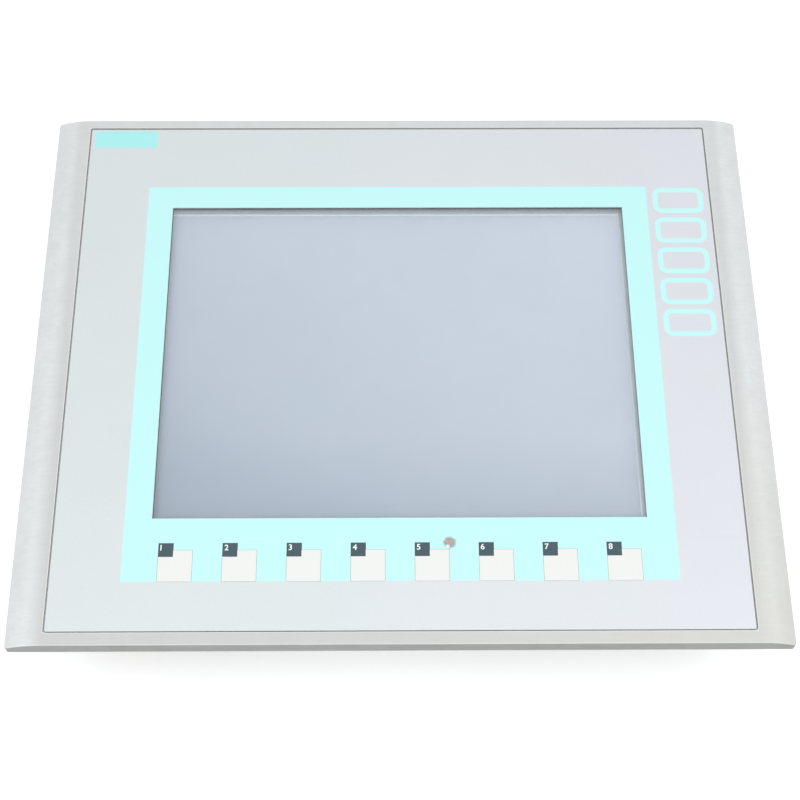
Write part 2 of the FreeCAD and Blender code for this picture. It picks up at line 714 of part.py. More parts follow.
def inverter_transformer():
    """Step-up transformer for the lamps: a bobbin between two ferrite ends."""
    z0, z1 = INVERTER_BACK_Z - 7.0, INVERTER_BACK_Z
    bobbin = centred_box(INVERTER_X, 8, 6.0, 13.0, z0 + 1.0, z1)
    ends = [centred_box(INVERTER_X, 8 + side * 13.0, 7.5, 2.5, z0, z1) for side in (-1, 1)]
    return bobbin.fuse(ends).removeSplitter()


def display_cable():
    path = [(34.0, LCD_BACK_Z), (34.0, -16.0), (18.0, -22.0), (18.0, BOARD_FRONT_Z + 5.2)]
    return ribbon(path, -22, 2, 0.6)


def lamp_leads():
    """A lead from each lamp, round the display's side and through the plate to the inverter."""
    leads = []
    for side in (-1, 1):
        leads.append(round_cable([
            (LCD_X - LCD_HALF_X - 0.6, side * 84.0, -4.5),
            (-134.0, side * 84.0, -5.0),
            (-140.5, side * 84.0, -10.8),
            (-139.0, side * 76.0, -18.0),
            (-130.0, side * 66.0, -20.0),
            (-125.0, side * 52.0, -18.5),
            (-125.0, side * 44.0, INVERTER_BACK_Z - 1.3),
        ], 1.0))
    return group(leads)


def inverter_supply_leads():
    """Three wires that bring the supply from the main board to the inverter."""
    return group([
        round_cable([
            (-124.0, y, INVERTER_BACK_Z - 1.1),
            (-116.0, y, -19.0),
            (-106.0, y, -19.5),
            (-101.0, y, -23.0),
            (-101.0, y, BOARD_FRONT_Z + 5.2),
        ], 0.8)
        for y in (24.0, 28.0, 32.0)
    ])


# --- Rear cover and hardware -------------------------------------------------------------------------

def housing_shape(inset):
    """The cover's stepped shape, drawn in by inset: a wide front section and a narrower rear one."""
    x, y = HOUSING_HALF_X - inset, HOUSING_HALF_Y - inset
    radius = HOUSING_BEND_R - inset
    front = tray_block(-x, x, -y, y, LEDGE_Z + inset, 0.8 + inset, radius)
    rear_x = REAR_HALF_X - inset
    rear = tray_block(
        -rear_x, rear_x, REAR_LOW_Y + inset, REAR_HIGH_Y - inset, HOUSING_BACK_Z + inset, -20, radius
    )
    return front.fuse(rear)


def vent_slots():
    """Cooling slots: two bands on the rear face and a row in the wide section's top wall."""
    z0, z1 = HOUSING_BACK_Z - 1, HOUSING_BACK_Z + 3
    slots = []
    rear_pitch = 7.5
    rear_count = 35
    first_x = -rear_pitch * (rear_count - 1) / 2
    for y in (88.0, -80.0):
        for index in range(rear_count):
            slots.append(slot(first_x + index * rear_pitch, y, 30.0, 2.6, z0, z1))
    top_pitch = 7.5
    for index in range(29):
        x = -top_pitch * 14 + index * top_pitch
        slots.append(box(x - 1.3, x + 1.3, HOUSING_HALF_Y - 3, HOUSING_HALF_Y + 3, -21, -9))
    return slots


def clamp_slots():
    """Narrow slots in the side walls where the mounting clamps hook in: twelve in all."""
    z0, z1 = -27.6, -24.0
    y = HOUSING_HALF_Y
    slots = [
        box(x - 6, x + 6, side * y - 3, side * y + 3, z0, z1)
        for side in (-1, 1) for x in (-125.0, -45.0, 45.0, 125.0)
    ]
    x = HOUSING_HALF_X
    slots += [
        box(side * x - 3, side * x + 3, y - 6, y + 6, z0, z1)
        for side in (-1, 1) for y in (-80.0, 80.0)
    ]
    return slots


def socket_openings():
    y0, y1 = REAR_LOW_Y - 2, REAR_LOW_Y + 2
    openings = []
    for x, width, low in (
        (POWER_X, POWER_WIDTH, POWER_LOW_Z),
        (NETWORK_X, NETWORK_WIDTH, NETWORK_LOW_Z),
    ):
        half = width / 2 + SOCKET_GAP
        openings.append(box(x - half, x + half, y0, y1, low - SOCKET_GAP, BOARD_BACK_Z + SOCKET_GAP))
    return openings


def label_recess(gap, z0, z1):
    return rounded(box(-45 - gap, 45 + gap, -14 - gap, 42 + gap, z0, z1), 2.0 + gap)


def rear_cover():
    """The bent sheet tray with its connector bay along the lower edge."""
    cover = housing_shape(0).cut(housing_shape(HOUSING_SHEET))
    back = HOUSING_BACK_Z
    cover = cover.fuse(label_recess(1.0, back + 0.5, back + 0.5 + HOUSING_SHEET))
    cuts = vent_slots() + clamp_slots() + socket_openings()
    cuts.append(label_recess(0.2, back - 1, back + 0.5))
    cuts += [cylinder(x, y, LEDGE_Z - 1, LEDGE_Z + 2, M3_R + 0.2) for x, y in COVER_SCREW_POINTS]
    cuts.append(cylinder(GROUND_X, GROUND_Y, LEDGE_Z - 1, LEDGE_Z + 2, 2.2))
    return cover.cut(cuts).removeSplitter()


def rating_plate():
    """Blank label plate, sunk in the cover's rear face."""
    return label_recess(0, HOUSING_BACK_Z + 0.15, HOUSING_BACK_Z + 0.5)


def ground_terminal():
    """Functional earth stud with its washer and nut, in the connector bay."""
    outside = LEDGE_Z
    inside = LEDGE_Z + HOUSING_SHEET
    stud = cylinder(GROUND_X, GROUND_Y, outside - 10.5, inside + 1.8, 2.0)
    head = cylinder(GROUND_X, GROUND_Y, inside, inside + 1.8, 3.8)
    washer = cylinder(GROUND_X, GROUND_Y, outside - 0.8, outside, 4.5)
    nut_r = 7.0 / math.sqrt(3)
    corners = [
        Vector(
            GROUND_X + nut_r * math.cos(math.radians(60 * index)),
            GROUND_Y + nut_r * math.sin(math.radians(60 * index)),
            outside - 4.0,
        )
        for index in range(7)
    ]
    nut = Part.Face(Part.makePolygon(corners)).extrude(Vector(0, 0, 3.2))
    return stud.fuse([head, washer, nut]).removeSplitter()


def screws(points, seat_z, depth):
    return group([pan_screw(x, y, seat_z, depth) for x, y in points])


# --- The assembly ------------------------------------------------------------------------------------

GRAPHICS = printed_graphics()

NODES = {
    "front_frame": front_frame(),
    "front_foil": front_foil(GRAPHICS),
    "printed_graphics": GRAPHICS,
    "window_film": window_film(),
    "label_strip": label_strip(),
    "key_membrane": key_membrane(),
    "touch_sensor": touch_sensor(),
    "touch_gasket": touch_gasket(),
    "touch_flex_tail": touch_flex_tail(),
    "lcd_dust_seal": lcd_dust_seal(),
    "lcd_bezel": lcd_bezel(),
    "lcd_panel": lcd_panel(),
    "lcd_backlight": lcd_backlight(),
    "lcd_lamps": lcd_lamps(),
    "lcd_brackets": group([lcd_bracket(-1), lcd_bracket(1)]),
    "lcd_screws": screws(LCD_SCREW_POINTS, -3.0, 5.0),
    "mounting_seal": seal_ring(0.0),
    "support_plate": support_plate(),
    "frame_screws": screws(FRAME_SCREW_POINTS, PLATE_BACK_Z, 8.0),
    "main_board": main_board(),
    "board_screws": screws(BOARD_SCREW_POINTS, BOARD_BACK_Z, 6.0),
    "board_connectors": board_connectors(),
    "board_chips": board_chips(),
    "heat_spreader": heat_spreader(),
    "capacitors": capacitors(),
    "power_choke": power_choke(),
    "power_socket": power_socket(),
    "power_pins": power_pins(),
    "network_port": network_port(),
    "network_contacts": network_contacts(),
    "inverter_board": inverter_board(),
    "inverter_screws": screws(INVERTER_SCREW_POINTS, INVERTER_BACK_Z, 4.0),
    "inverter_transformer": inverter_transformer(),
    "display_cable": display_cable(),
    "lamp_leads": lamp_leads(),
    "inverter_supply_leads": inverter_supply_leads(),
    "rear_cover": rear_cover(),
    "cover_screws": screws(COVER_SCREW_POINTS, LEDGE_Z, 6.0),
    "rating_plate": rating_plate(),
    "ground_terminal": ground_terminal(),
}
for key_index in range(KEY_COUNT):
    NODES[f"key_{key_index + 1}"] = function_key(key_index)
    NODES[f"key_dome_{key_index + 1}"] = snap_dome(key_index)

for node_name, shape in NODES.items():
    shape.exportStep(f"parts/{node_name}.step")
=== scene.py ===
import math

import bmesh
import bpy
from mathutils import Matrix, Vector


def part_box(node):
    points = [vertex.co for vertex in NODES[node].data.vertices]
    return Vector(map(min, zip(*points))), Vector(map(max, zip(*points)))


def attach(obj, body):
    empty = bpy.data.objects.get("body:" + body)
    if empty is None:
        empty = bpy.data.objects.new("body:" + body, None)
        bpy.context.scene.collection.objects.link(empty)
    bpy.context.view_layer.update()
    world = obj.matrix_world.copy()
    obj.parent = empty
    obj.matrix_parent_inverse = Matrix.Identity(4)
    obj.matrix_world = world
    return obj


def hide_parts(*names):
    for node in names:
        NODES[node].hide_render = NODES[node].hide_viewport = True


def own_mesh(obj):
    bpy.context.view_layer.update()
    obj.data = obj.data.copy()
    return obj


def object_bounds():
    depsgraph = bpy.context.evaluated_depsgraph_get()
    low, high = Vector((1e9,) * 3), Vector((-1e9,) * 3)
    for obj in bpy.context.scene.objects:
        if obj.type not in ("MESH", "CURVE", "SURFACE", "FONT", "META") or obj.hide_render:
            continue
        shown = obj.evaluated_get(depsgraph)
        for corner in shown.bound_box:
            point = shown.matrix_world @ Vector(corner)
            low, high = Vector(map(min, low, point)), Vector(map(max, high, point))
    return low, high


# Operator panel lying on its back on a pale table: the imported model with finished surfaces, the printed
# key numbers, and a plain studio around it. Metres; X right, Y to the top of the screen, Z out of it.

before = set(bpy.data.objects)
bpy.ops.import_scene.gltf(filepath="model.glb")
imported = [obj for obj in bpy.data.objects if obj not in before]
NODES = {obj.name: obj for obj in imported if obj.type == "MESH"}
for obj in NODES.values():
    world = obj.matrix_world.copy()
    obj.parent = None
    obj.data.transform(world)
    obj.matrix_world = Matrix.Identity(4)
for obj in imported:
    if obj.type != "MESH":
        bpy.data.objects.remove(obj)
CAD_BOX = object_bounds()

MM = 0.001
HALF_WIDTH = CAD_BOX[1][0] / MM     # of the front, in millimetres like all places inside a material
HALF_HEIGHT = CAD_BOX[1][1] / MM

# --- Camera ------------------------------------------------------------------------------------------

CAMERA_PLACE = Vector((-6.31, -397.28, 700.67)) * MM
CAMERA_AIM = Vector((0.38, -16.38, 0)) * MM
CAMERA_ROLL = math.radians(0.727)
CAMERA_LENS = 78.43
SENSOR_WIDTH = 36.0

# --- Studio sizes (metres, watts) --------------------------------------------------------------------

FLOOR_HALF = 30.0
SOFTBOX_PLACE = (0.05, -0.42, 1.45)
SOFTBOX_WIDTH = 2.4
SOFTBOX_DEPTH = 1.6
SOFTBOX_WATTS = 22.0

# --- Colours of the front (linear) -------------------------------------------------------------------

FOIL_GREY = (0.585, 0.625, 0.635)
TURQUOISE = (0.465, 0.775, 0.765)
CORNER_TURQUOISE = (0.335, 0.715, 0.71)
CARD_WHITE = (0.70, 0.705, 0.69)
BADGE_DARK = (0.038, 0.070, 0.086)
CAST_METAL = (0.52, 0.53, 0.525)
CAST_METAL_PAINTED_LIGHT = (0.74, 0.76, 0.765)
CAST_METAL_PAINTED_SHADE = (0.24, 0.245, 0.236)
POCKET_PAINTED_LIGHT = (0.64, 0.65, 0.64)
DISPLAY_BLUE = (0.51, 0.57, 0.655)

# --- Places on the front (millimetres) ---------------------------------------------------------------

POCKET_HALF_X = 151.4       # just past the walls of the foil's pocket
POCKET_HALF_Y = 132.4
POCKET_MID_Y = 0.556
POCKET_FLOOR_Z = 5.2
CORNER_BLOCK_LOW_Y = 115.0  # ink above this line belongs to the corner block
SCUFF_PLACE = (21.4, -90.7, 7.1)
RESIDUE_PLACE = (20.9, -90.1, 7.1)
CHIP_PLACE = (20.5, -92.5, 7.1)
LABEL_ROW = 7.0

# --- Function keys -----------------------------------------------------------------------------------

KEY_COUNT = 8
BADGE_SIZE = 6.4 * MM
INK_THICKNESS = 0.02 * MM
NUMBER_HEIGHT = 2.7 * MM
NUMBER_INSET_X = 0.8 * MM
NUMBER_INSET_Y = 0.7 * MM
BADGE_CORNER = 0.2 * MM
BADGE_CORNER_STEPS = 4
DOME_SHEET = 0.15 * MM
DOME_RINGS = 10
DOME_SPOKES = 40


# --- Node materials ----------------------------------------------------------------------------------

class Material:
    """A node material under construction. Each method adds nodes and returns the socket they feed."""

    def __init__(self, name):
        self.data = bpy.data.materials.new(name)
        self.data.use_nodes = True
        self.tree = self.data.node_tree
        self.shader = self.tree.nodes["Principled BSDF"]
        place = self.tree.nodes.new("ShaderNodeTexCoord").outputs["Object"]
        scaled = self.tree.nodes.new("ShaderNodeVectorMath")
        scaled.operation = "SCALE"
        scaled.inputs["Scale"].default_value = 1 / MM
        self.tree.links.new(place, scaled.inputs[0])
        self.place = scaled.outputs[0]          # the surface point in millimetres
        self.height = None

    def feed(self, socket, value):
        if isinstance(value, bpy.types.NodeSocket):
            self.tree.links.new(value, socket)
        elif socket.type == "RGBA" and isinstance(value, (int, float)):
            socket.default_value = (value, value, value, 1.0)
        elif socket.type == "RGBA":
            socket.default_value = (*value, 1.0)
        else:
            socket.default_value = value

    def stretched(self, factors):
        """The surface point with each coordinate multiplied by its factor."""
        node = self.tree.nodes.new("ShaderNodeVectorMath")
        node.operation = "MULTIPLY"
        self.feed(node.inputs[0], self.place)
        node.inputs[1].default_value = factors
        return node.outputs[0]

    def noise(self, size, detail=3.0, stretch=(1, 1, 1), roughness=0.5):
        """Soft noise between 0 and 1 whose blotches are about size millimetres across."""
        node = self.tree.nodes.new("ShaderNodeTexNoise")
        self.feed(node.inputs["Vector"], self.stretched(stretch))
        node.inputs["Scale"].default_value = 1 / size
        node.inputs["Detail"].default_value = detail
        node.inputs["Roughness"].default_value = roughness
        return node.outputs["Fac"]

    def cells(self, size, output="Color", feature="F1"):
        node = self.tree.nodes.new("ShaderNodeTexVoronoi")
        node.feature = feature
        self.feed(node.inputs["Vector"], self.place)
        node.inputs["Scale"].default_value = 1 / size
        return node.outputs[output]

    def ramp(self, factor, *stops):
        """Map factor through (position, value) stops; a value is a grey level or a colour."""
        node = self.tree.nodes.new("ShaderNodeValToRGB")
        self.feed(node.inputs["Fac"], factor)
        elements = node.color_ramp.elements
        while len(elements) < len(stops):
            elements.new(0.5)
        for element, (position, value) in zip(elements, stops):
            element.position = position
            element.color = (value, value, value, 1) if isinstance(value, (int, float)) else (*value, 1)
        return node.outputs["Color"]

    def mix(self, factor, first, second, blend="MIX"):
        node = self.tree.nodes.new("ShaderNodeMix")
        node.data_type = "RGBA"
        node.blend_type = blend
        self.feed(node.inputs["Factor"], factor)
        self.feed(node.inputs["A"], first)
        self.feed(node.inputs["B"], second)
        return node.outputs["Result"]

    def math(self, operation, first, second=0.0):
        node = self.tree.nodes.new("ShaderNodeMath")
        node.operation = operation
        self.feed(node.inputs[0], first)
        self.feed(node.inputs[1], second)
        return node.outputs[0]

    def axis(self, name):
        node = self.tree.nodes.new("ShaderNodeSeparateXYZ")
        self.feed(node.inputs[0], self.place)
        return node.outputs[name]

    def scaled_axis(self, name, scale, offset=0.0):
        return self.math("ADD", self.math("MULTIPLY", self.axis(name), scale), offset)

    def spot(self, centre, radius, feather):
        """1 inside a ragged spot round centre (millimetres), falling to 0 over feather."""
        node = self.tree.nodes.new("ShaderNodeVectorMath")
        node.operation = "DISTANCE"
        self.feed(node.inputs[0], self.place)
        node.inputs[1].default_value = centre
        ragged = self.math("MULTIPLY", self.noise(1.2, detail=4.0), 2 * feather)
        reach = self.math("ADD", node.outputs["Value"], ragged)
        spread = self.tree.nodes.new("ShaderNodeMapRange")
        self.feed(spread.inputs["Value"], reach)
        spread.inputs["From Min"].default_value = radius + feather
        spread.inputs["From Max"].default_value = radius + 2 * feather
        spread.inputs["To Min"].default_value = 1.0
        spread.inputs["To Max"].default_value = 0.0
        return spread.outputs["Result"]

    def edges(self, radius):
        """1 on sharp outer edges and corners within radius millimetres, 0 on open faces."""
        bevel = self.tree.nodes.new("ShaderNodeBevel")
        bevel.samples = 4
        bevel.inputs["Radius"].default_value = radius * MM
        geometry = self.tree.nodes.new("ShaderNodeNewGeometry")
        dot = self.tree.nodes.new("ShaderNodeVectorMath")
        dot.operation = "DOT_PRODUCT"
        self.feed(dot.inputs[0], bevel.outputs[0])
        self.feed(dot.inputs[1], geometry.outputs["Normal"])
        return self.ramp(dot.outputs["Value"], (0.80, 1.0), (0.985, 0.0))

    def facing_front(self):
        """1 on faces turned towards the screen side, 0 on side and rear faces."""
        geometry = self.tree.nodes.new("ShaderNodeNewGeometry")
        parts = self.tree.nodes.new("ShaderNodeSeparateXYZ")
        self.feed(parts.inputs[0], geometry.outputs["Normal"])
        return self.ramp(parts.outputs["Z"], (0.35, 0.0), (0.75, 1.0))

    def bump(self, height, depth):
        """Raise the surface by depth millimetres where height is 1, on top of earlier bumps."""
        node = self.tree.nodes.new("ShaderNodeBump")
        node.inputs["Strength"].default_value = 1.0
        node.inputs["Distance"].default_value = depth * MM
        self.feed(node.inputs["Height"], height)
        if self.height is not None:
            self.feed(node.inputs["Normal"], self.height)
        self.height = node.outputs["Normal"]

    def finish(self, colour, roughness, metallic=0.0, **constants):
        """Connect the shader; constants are further sockets with one value all over."""
        self.feed(self.shader.inputs["Base Color"], colour)
        self.feed(self.shader.inputs["Roughness"], roughness)
        self.feed(self.shader.inputs["Metallic"], metallic)
        for socket, value in constants.items():
            self.feed(self.shader.inputs[socket.replace("_", " ")], value)
        if self.height is not None:
            self.feed(self.shader.inputs["Normal"], self.height)
        return self.data


def tinted(colour, factor):
    return tuple(min(1.0, channel * factor) for channel in colour)


def in_foil_pocket(m):
    """1 on the frame's pocket, which shows in the open joint round the foil and is painted lighter there.
    """
    across = m.math("ABSOLUTE", m.scaled_axis("X", 1 / POCKET_HALF_X))
    along = m.math("ABSOLUTE", m.scaled_axis("Y", 1 / POCKET_HALF_Y, -POCKET_MID_Y / POCKET_HALF_Y))
    inside = m.math("LESS_THAN", m.math("MAXIMUM", across, along), 1.0)
    return m.math("MULTIPLY", inside, m.math("GREATER_THAN", m.axis("Z"), POCKET_FLOOR_Z))


def cast_frame():
    """Satin cast frame: faint brushing, a few small dull marks, and painted light, shade and edge
    highlights.
    """
    m = Material("cast_frame")
    clouds = m.noise(38, detail=5.0)
    side = m.math("ABSOLUTE", m.scaled_axis("X", 1 / HALF_WIDTH))
    upward = m.scaled_axis("Y", 1 / 264, 0.5)
    # painted light: the side bars lighter where light falls on their cambered faces, and lighter towards
    # the top
    wear_and_painted_light = m.math("MAXIMUM", m.ramp(side, (0.905, 0.0), (0.95, 1.0)), m.math("MULTIPLY", upward, 0.6))
    brushing = m.noise(1.1, detail=2.0, stretch=(0.05, 1, 1))
    pits = m.ramp(m.noise(2.2, detail=6.0, roughness=0.7), (0.60, 0.0), (0.70, 1.0))
    mottle = m.ramp(m.noise(7, detail=5.0, roughness=0.6), (0.40, 0.0), (0.70, 1.0))
    tone = m.mix(wear_and_painted_light, CAST_METAL, CAST_METAL_PAINTED_LIGHT)
    tone = m.mix(m.math("MULTIPLY", clouds, 0.12), tone, tinted(CAST_METAL, 0.8))
    rightward = m.scaled_axis("X", 0.5 / HALF_WIDTH)
    warmth = m.math("SUBTRACT", rightward, m.scaled_axis("Y", 0.5 / HALF_HEIGHT))
    tone = m.mix(m.ramp(warmth, (0.45, 0.0), (1.0, 0.6)), tone, (0.60, 0.585, 0.52))
    tone = m.mix(m.math("MULTIPLY", mottle, 0.20), tone, (0.55, 0.545, 0.51))
    # painted shade: side and rear faces darker than the front face
    tone = m.mix(m.facing_front(), CAST_METAL_PAINTED_SHADE, tone)
    # painted light: the pocket's walls and floor lightened so the shaded joint round the foil reads
    # fainter
    tone = m.mix(in_foil_pocket(m), tone, POCKET_PAINTED_LIGHT)
    tone = m.mix(m.math("MULTIPLY", brushing, 0.25), tone, tinted(CAST_METAL, 0.86))
    tone = m.mix(m.math("MULTIPLY", pits, 0.30), tone, (0.48, 0.47, 0.44))
    # painted highlight along the frame's sharp edges and arrises
    tone = m.mix(m.math("MULTIPLY", m.edges(0.8), 0.65), tone, (0.88, 0.88, 0.86))
    rough = m.ramp(m.noise(9, detail=4.0), (0.3, 0.46), (0.7, 0.58))
    m.bump(brushing, 0.010)
    m.bump(m.noise(0.5, detail=2.0), 0.008)
    m.bump(pits, -0.02)
    return m.finish(tone, rough, 0.35)


def foil_texture(m):
    """The fine pebbled face of a polyester front foil."""
    m.bump(m.noise(0.22, detail=2.0), 0.006)
    m.bump(m.noise(26, detail=2.0), 0.05)
    return m.ramp(m.noise(14, detail=5.0), (0.3, 0.36), (0.7, 0.46))


def handling_marks(m):
    """Faint smears and fine hairline scratches left by use, between 0 and 1."""
    smears = m.ramp(m.noise(22, detail=6.0, stretch=(1, 2.2, 1)), (0.55, 0.0), (0.75, 1.0))
    scratches = m.ramp(m.noise(5.0, detail=3.0, stretch=(0.08, 1.6, 1)), (0.69, 0.0), (0.72, 1.0))
    return m.math("MAXIMUM", m.math("MULTIPLY", smears, 0.5), scratches)


def silver_foil():
    m = Material("silver_foil")
    tone = m.mix(m.noise(70, detail=3.0), tinted(FOIL_GREY, 0.97), tinted(FOIL_GREY, 1.03))
    # painted reflection: greenish towards the left and lavender towards the right across the foil
    rightward = m.math("ADD", m.scaled_axis("X", 1 / 400, 0.25), m.math("MULTIPLY", m.noise(60), 0.5))
    painted_reflection_tint = m.mix(rightward, (0.575, 0.64, 0.62), (0.63, 0.625, 0.69))
    tone = m.mix(0.6, tone, painted_reflection_tint)
    sparkle = m.ramp(m.noise(0.35, detail=1.0), (0.45, 0.0), (0.75, 1.0))
    tone = m.mix(m.math("MULTIPLY", sparkle, 0.10), tone, (0.92, 0.93, 0.94))
    marks = handling_marks(m)
    tone = m.mix(m.math("MULTIPLY", marks, 0.05), tone, (0.50, 0.50, 0.48))
    rough = m.mix(m.math("MULTIPLY", marks, 0.5), foil_texture(m), 0.55)
    return m.finish(tone, rough, 0.15)


def turquoise_print():
    """The border's ink, with one scuffed spot beside the fifth key."""
    m = Material("turquoise_print")
    in_corner = m.math("GREATER_THAN", m.axis("Y"), CORNER_BLOCK_LOW_Y)
    tone = m.mix(in_corner, TURQUOISE, CORNER_TURQUOISE)
    tone = m.mix(m.math("MULTIPLY", m.noise(45, detail=4.0), 0.10), tone, (0.40, 0.70, 0.70))
    marks = handling_marks(m)
    tone = m.mix(m.math("MULTIPLY", marks, 0.05), tone, (0.60, 0.75, 0.74))
    scuff = m.spot(SCUFF_PLACE, 2.1, 1.1)
    tone = m.mix(m.math("MULTIPLY", scuff, 0.75), tone, (0.21, 0.19, 0.185))
    residue = m.mix(m.noise(0.8, detail=3.0), (0.20, 0.15, 0.13), (0.62, 0.46, 0.42))
    tone = m.mix(m.spot(RESIDUE_PLACE, 1.3, 0.7), tone, residue)
    chip = m.spot(CHIP_PLACE, 0.7, 0.4)
    tone = m.mix(chip, tone, (0.68, 0.70, 0.70))
    rough = m.mix(scuff, foil_texture(m), 0.7)
    m.bump(scuff, 0.03)
    return m.finish(tone, rough)


def window_clear():
    """Matt clear film: a thin milky veil that shows the display beneath."""
    m = Material("window_clear")
    dust = m.ramp(m.noise(0.9, detail=1.0), (0.765, 0.0), (0.79, 1.0))
    veil = m.ramp(m.noise(60, detail=4.0), (0.3, 0.05), (0.7, 0.08))
    m.bump(m.noise(0.25, detail=2.0), 0.005)
    tone = m.mix(m.noise(80, detail=2.0), (0.70, 0.76, 0.83), (0.78, 0.83, 0.89))
    alpha = m.math("MAXIMUM", m.math("MULTIPLY", dust, 0.6), veil)
    rough = m.ramp(m.noise(18, detail=5.0), (0.3, 0.34), (0.7, 0.44))
    return m.finish(tone, rough, Alpha=alpha)


def sensor_glass():
    m = Material("sensor_glass")
    grid = m.ramp(m.noise(30, detail=3.0), (0.3, 0.02), (0.7, 0.04))
    m.bump(m.noise(40, detail=1.0), 0.01)
    rough = m.ramp(m.noise(12), (0.3, 0.10), (0.7, 0.16))
    return m.finish((0.80, 0.86, 0.90), rough, Alpha=grid)


def display_glass():
    """The unlit display's polariser: blue-grey, slightly hazy, with painted shade darkening it towards
    its lower left and its bottom.
    """
    m = Material("display_glass")
    upper_right = m.math("ADD", m.scaled_axis("X", 0.0022, 0.25), m.scaled_axis("Y", 0.0028, 0.25))
    # painted shade: darker towards the lower left, lighter towards the upper right
    depth = m.ramp(upper_right, (0.0, 0.0), (0.3, 0.54), (0.6, 0.81), (1.0, 1.0))
    tone = m.mix(depth, (0.27, 0.33, 0.40), tinted(DISPLAY_BLUE, 1.10))
    # painted shade: darker again towards the bottom
    lower = m.ramp(m.scaled_axis("Y", -0.01, 0.2), (0.55, 0.0), (1.0, 0.35))
    tone = m.mix(lower, tone, (0.19, 0.26, 0.34))
    tone = m.mix(m.math("MULTIPLY", m.noise(70, detail=3.0), 0.12), tone, tinted(DISPLAY_BLUE, 0.85))
    speck = m.ramp(m.noise(0.7, detail=2.0), (0.79, 0.0), (0.82, 1.0))
    tone = m.mix(m.math("MULTIPLY", speck, 0.3), tone, (0.8, 0.8, 0.8))
    m.bump(m.noise(0.2, detail=1.0), 0.004)
    rough = m.ramp(m.noise(25, detail=4.0), (0.3, 0.30), (0.7, 0.40))
    return m.finish(tone, rough)


def display_can():
    """Pale nickel-plated can, with a painted highlight along its lip."""
    m = Material("display_can")
    plating = m.noise(2.5, detail=4.0)
    tone = m.mix(plating, (0.47, 0.54, 0.60), (0.53, 0.60, 0.66))
    # painted highlight on the can's edges
    tone = m.mix(m.edges(1.2), tone, (0.83, 0.90, 0.98))
    m.bump(plating, 0.01)
    return m.finish(tone, m.ramp(plating, (0.3, 0.35), (0.7, 0.45)), 0.2)


def key_card():
    """Off-white label card seen through clear foil."""
    m = Material("key_card")
    fibres = m.noise(0.6, detail=4.0, stretch=(1, 0.4, 1))
    tone = m.mix(fibres, tinted(CARD_WHITE, 0.975), tinted(CARD_WHITE, 1.02))
    stain = m.ramp(m.noise(7, detail=4.0), (0.58, 0.0), (0.80, 1.0))
    tone = m.mix(m.math("MULTIPLY", stain, 0.12), tone, (0.84, 0.80, 0.72))
    return m.finish(tone, foil_texture(m))


def badge_ink():
    m = Material("badge_ink")
    tone = m.mix(m.noise(2.0, detail=4.0), tinted(BADGE_DARK, 0.85), tinted(BADGE_DARK, 1.2))
    wear_and_painted_light = m.ramp(m.noise(0.9, detail=5.0), (0.66, 0.0), (0.74, 1.0))
    tone = m.mix(m.math("MULTIPLY", wear_and_painted_light, 0.25), tone, (0.35, 0.42, 0.44))
    return m.finish(tone, foil_texture(m))


def number_ink():
    m = Material("number_ink")
    tone = m.mix(m.noise(0.5, detail=3.0), (0.80, 0.83, 0.84), (0.95, 0.96, 0.96))
    return m.finish(tone, foil_texture(m))


def sheet_metal(name, colour, spangle=4.0):
    """Plated sheet: crystal spangle, streaks along the rolling direction, bright rubbed edges."""
    m = Material(name)
    crystals = m.math("MULTIPLY", m.ramp(m.cells(spangle), (0.2, 0.0), (0.8, 1.0)), 0.4)
    rolling = m.noise(0.8, detail=2.0, stretch=(1, 0.04, 0.04))
    tone = m.mix(crystals, tinted(colour, 0.88), tinted(colour, 1.10))
    tone = m.mix(m.math("MULTIPLY", rolling, 0.18), tone, tinted(colour, 0.75))
    stain = m.ramp(m.noise(34, detail=6.0), (0.52, 0.0), (0.78, 1.0))
    tone = m.mix(m.math("MULTIPLY", stain, 0.25), tone, tinted(colour, 0.70))
    tone = m.mix(m.math("MULTIPLY", m.edges(0.5), 0.5), tone, tinted(colour, 1.35))
    rough = m.ramp(crystals, (0.0, 0.34), (1.0, 0.50))
    m.bump(rolling, 0.008)
    m.bump(m.noise(60, detail=2.0), 0.15)
    return m.finish(tone, rough, 0.85)


def turned_metal(name, colour):
    """Small plated or drawn metal pieces: fine tool marks, tarnish in patches, bright edges."""
    m = Material(name)
    marks = m.noise(0.15, detail=2.0, stretch=(1, 1, 6))
    tarnish = m.ramp(m.noise(1.6, detail=5.0), (0.45, 0.0), (0.75, 1.0))
    tone = m.mix(m.math("MULTIPLY", tarnish, 0.45), colour, tinted(colour, 0.55))
    tone = m.mix(m.math("MULTIPLY", m.edges(0.15), 0.5), tone, tinted(colour, 1.4))
    m.bump(marks, 0.006)
    rough = m.ramp(tarnish, (0.0, 0.28), (1.0, 0.42))
    return m.finish(tone, rough, 0.9)


def moulded(name, colour, roughness=(0.38, 0.52), grain=0.35):
    """Moulded plastic: fine spark-eroded grain, slight flow clouding, dust in patches."""
    m = Material(name)
    flow = m.noise(8, detail=4.0)
    tone = m.mix(flow, tinted(colour, 0.90), tinted(colour, 1.08))
    dust = m.ramp(m.noise(5, detail=6.0), (0.50, 0.0), (0.80, 1.0))
    tone = m.mix(m.math("MULTIPLY", dust, 0.10), tone, (0.62, 0.60, 0.56))
    m.bump(m.noise(grain, detail=2.0), 0.012)
    rough = m.ramp(flow, (0.3, roughness[0]), (0.7, roughness[1]))
    return m.finish(tone, rough)


def rubber(name, colour):
    m = Material(name)
    bloom = m.ramp(m.noise(6, detail=5.0), (0.45, 0.0), (0.80, 1.0))
    tone = m.mix(m.math("MULTIPLY", bloom, 0.30), colour, (0.20, 0.20, 0.19))
    m.bump(m.noise(0.4, detail=3.0), 0.03)
    return m.finish(tone, m.ramp(bloom, (0.0, 0.62), (1.0, 0.80)))


